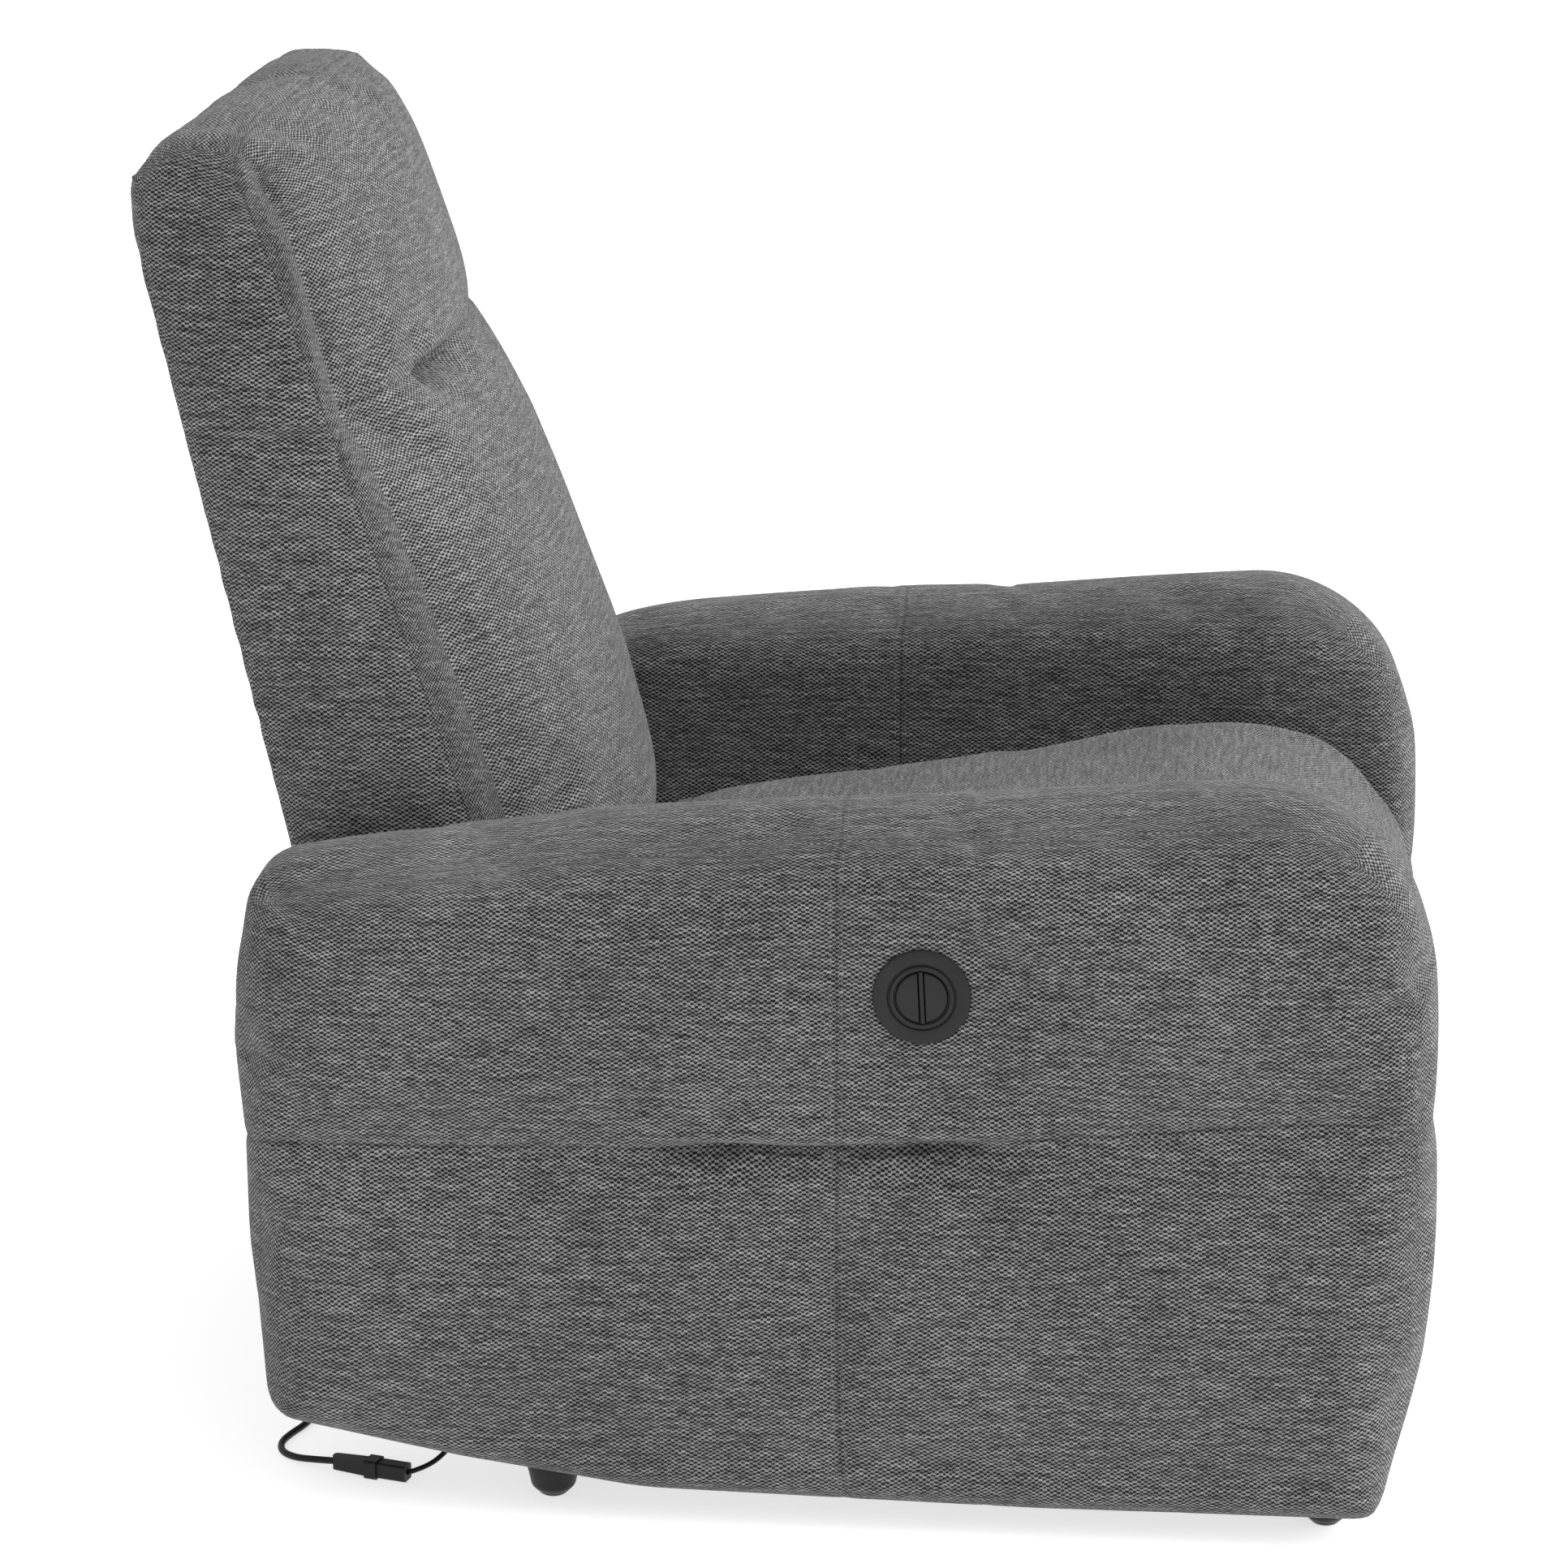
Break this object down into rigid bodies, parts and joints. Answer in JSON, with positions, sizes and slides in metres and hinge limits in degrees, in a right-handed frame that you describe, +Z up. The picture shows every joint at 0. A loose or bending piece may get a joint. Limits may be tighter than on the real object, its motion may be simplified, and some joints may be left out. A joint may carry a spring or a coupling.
{
  "type": "recliner armchair",
  "caption": "Padded power recliner armchair with a fold-out footrest, a reclining back on a swing-link seat carriage, an arm-mounted switch and a supply lead",
  "frame": {"origin": "on the floor, under the middle of the chair's box, measured without the supply lead", "axes": "+X is the way the sitter faces, +Z is up, the sitter's right arm with the switch is at -Y"},
  "size_m": [0.9861, 0.7934, 1.049],
  "materials": {
    "fabric": "matte",
    "wood": "matte",
    "plywood": "matte",
    "black_plastic": "satin",
    "switch_plastic": "matte",
    "circuit_board": "satin",
    "mechanism_steel": "satin",
    "bright_steel": "satin",
    "spring_steel": "satin",
    "motor_paint": "satin",
    "lead_black": "satin"
  },
  "bodies": {
    "chair_base": {"arm_panel_left": "plywood", "arm_panel_right": "plywood", "arm_frame_left": "wood", "arm_frame_right": "wood", "arm_pad_left": "fabric", "arm_pad_right": "fabric", "front_feet": "black_plastic", "rear_feet": "black_plastic", "base_rail_left": "mechanism_steel", "base_rail_right": "mechanism_steel", "base_pins": "bright_steel", "base_bolts": "bright_steel", "front_cross_tube": "mechanism_steel", "rear_cross_tube": "mechanism_steel", "button_bezel": "switch_plastic", "button_housing": "black_plastic", "switch_board": "circuit_board", "lead_clip": "lead_black", "chair_lead": "lead_black", "lead_plug": "lead_black", "lead_socket": "lead_black", "supply_lead": "lead_black", "supply_coil": "lead_black", "coil_tie": "lead_black", "power_adapter": "lead_black"},
    "open_switch": {"open_button": "switch_plastic"},
    "close_switch": {"close_button": "switch_plastic"},
    "rear_links": {"rear_link_left": "mechanism_steel", "rear_link_right": "mechanism_steel"},
    "front_links": {"front_link_left": "mechanism_steel", "front_link_right": "mechanism_steel"},
    "seat": {"seat_plate_left": "mechanism_steel", "seat_plate_right": "mechanism_steel", "seat_cross_tubes": "mechanism_steel", "seat_pins": "bright_steel", "seat_rails": "wood", "seat_springs": "spring_steel", "seat_cushion": "fabric", "actuator_rail": "mechanism_steel", "gearbox": "black_plastic", "motor": "motor_paint", "lead_screw": "bright_steel"},
    "drive_nut": {"drive_block": "black_plastic"},
    "footrest_drive": {"torque_tube": "mechanism_steel", "drive_links": "mechanism_steel"},
    "footrest_trail": {"trailing_links": "mechanism_steel"},
    "footrest_carrier": {"carrier_links": "mechanism_steel"},
    "footrest_links": {"board_links": "mechanism_steel"},
    "footrest": {"footrest_brackets": "mechanism_steel", "footrest_board": "plywood", "footrest_pad": "fabric"},
    "backrest": {"back_posts": "wood", "back_rails": "wood", "back_springs": "spring_steel", "back_brackets": "mechanism_steel", "back_cushion": "fabric", "back_side_panels": "fabric", "back_top_border": "fabric", "back_rear_panel": "fabric"},
    "back_rods": {"back_drive_links": "mechanism_steel"}
  },
  "joints": [
    {"name": "recline", "type": "hinge", "parent": "chair_base", "child": "rear_links", "pos_m": [-0.12, 0, 0.11], "axis": [0, 1, 0], "range_deg": [0, 50]},
    {"name": "front_swing", "type": "hinge", "parent": "chair_base", "child": "front_links", "pos_m": [0.13, 0, 0.11], "axis": [0, 1, 0], "range_deg": [0, 50]},
    {"name": "seat_swing", "type": "hinge", "parent": "rear_links", "child": "seat", "pos_m": [-0.17494, 0, 0.22782], "axis": [0, -1, 0], "range_deg": [0, 50]},
    {"name": "back_recline", "type": "hinge", "parent": "seat", "child": "backrest", "pos_m": [-0.195, 0, 0.33], "axis": [0, -1, 0], "range_deg": [0, 36]},
    {"name": "back_rod", "type": "hinge", "parent": "backrest", "child": "back_rods", "pos_m": [-0.20345, 0, 0.30399], "axis": [0, 1, 0], "range_deg": [0, 36]},
    {"name": "footrest_open", "type": "hinge", "parent": "seat", "child": "footrest_drive", "pos_m": [0.315, 0, 0.262], "axis": [0, -1, 0], "range_deg": [0, 95]},
    {"name": "footrest_trailing", "type": "hinge", "parent": "seat", "child": "footrest_trail", "pos_m": [0.2502, 0, 0.2563], "axis": [0, -1, 0], "range_deg": [0, 95]},
    {"name": "footrest_carry", "type": "hinge", "parent": "footrest_drive", "child": "footrest_carrier", "pos_m": [0.205, 0, 0.067], "axis": [0, 1, 0], "range_deg": [0, 95]},
    {"name": "footrest_link", "type": "hinge", "parent": "footrest_drive", "child": "footrest_links", "pos_m": [0.23202, 0, 0.1149], "axis": [0, 1, 0], "range_deg": [0, 95]},
    {"name": "footrest_board_turn", "type": "hinge", "parent": "footrest_carrier", "child": "footrest", "pos_m": [0.38, 0, 0.205], "axis": [0, -1, 0], "range_deg": [0, 95]},
    {"name": "nut_travel", "type": "slide", "parent": "seat", "child": "drive_nut", "axis": [1, 0, 0], "range_m": [0, 0.10323]},
    {"name": "open_press", "type": "slide", "parent": "chair_base", "child": "open_switch", "axis": [0, 1, 0], "range_m": [0, 0.0015], "stiffness_N_per_m": 900},
    {"name": "close_press", "type": "slide", "parent": "chair_base", "child": "close_switch", "axis": [0, 1, 0], "range_m": [0, 0.0015], "stiffness_N_per_m": 900}
  ],
  "couplings": [
    {"joint": "front_swing", "follows": "recline", "ratio": 1},
    {"joint": "seat_swing", "follows": "recline", "ratio": 1},
    {"joint": "back_recline", "follows": "recline", "ratio": 0.72},
    {"joint": "back_rod", "follows": "recline", "ratio": 0.72},
    {"joint": "footrest_trailing", "follows": "footrest_open", "ratio": 1},
    {"joint": "footrest_carry", "follows": "footrest_open", "ratio": 1},
    {"joint": "footrest_link", "follows": "footrest_open", "ratio": 1},
    {"joint": "footrest_board_turn", "follows": "footrest_open", "ratio": 1},
    {"joint": "nut_travel", "follows": "footrest_open", "m_per_rad": 0.062253}
  ]
}
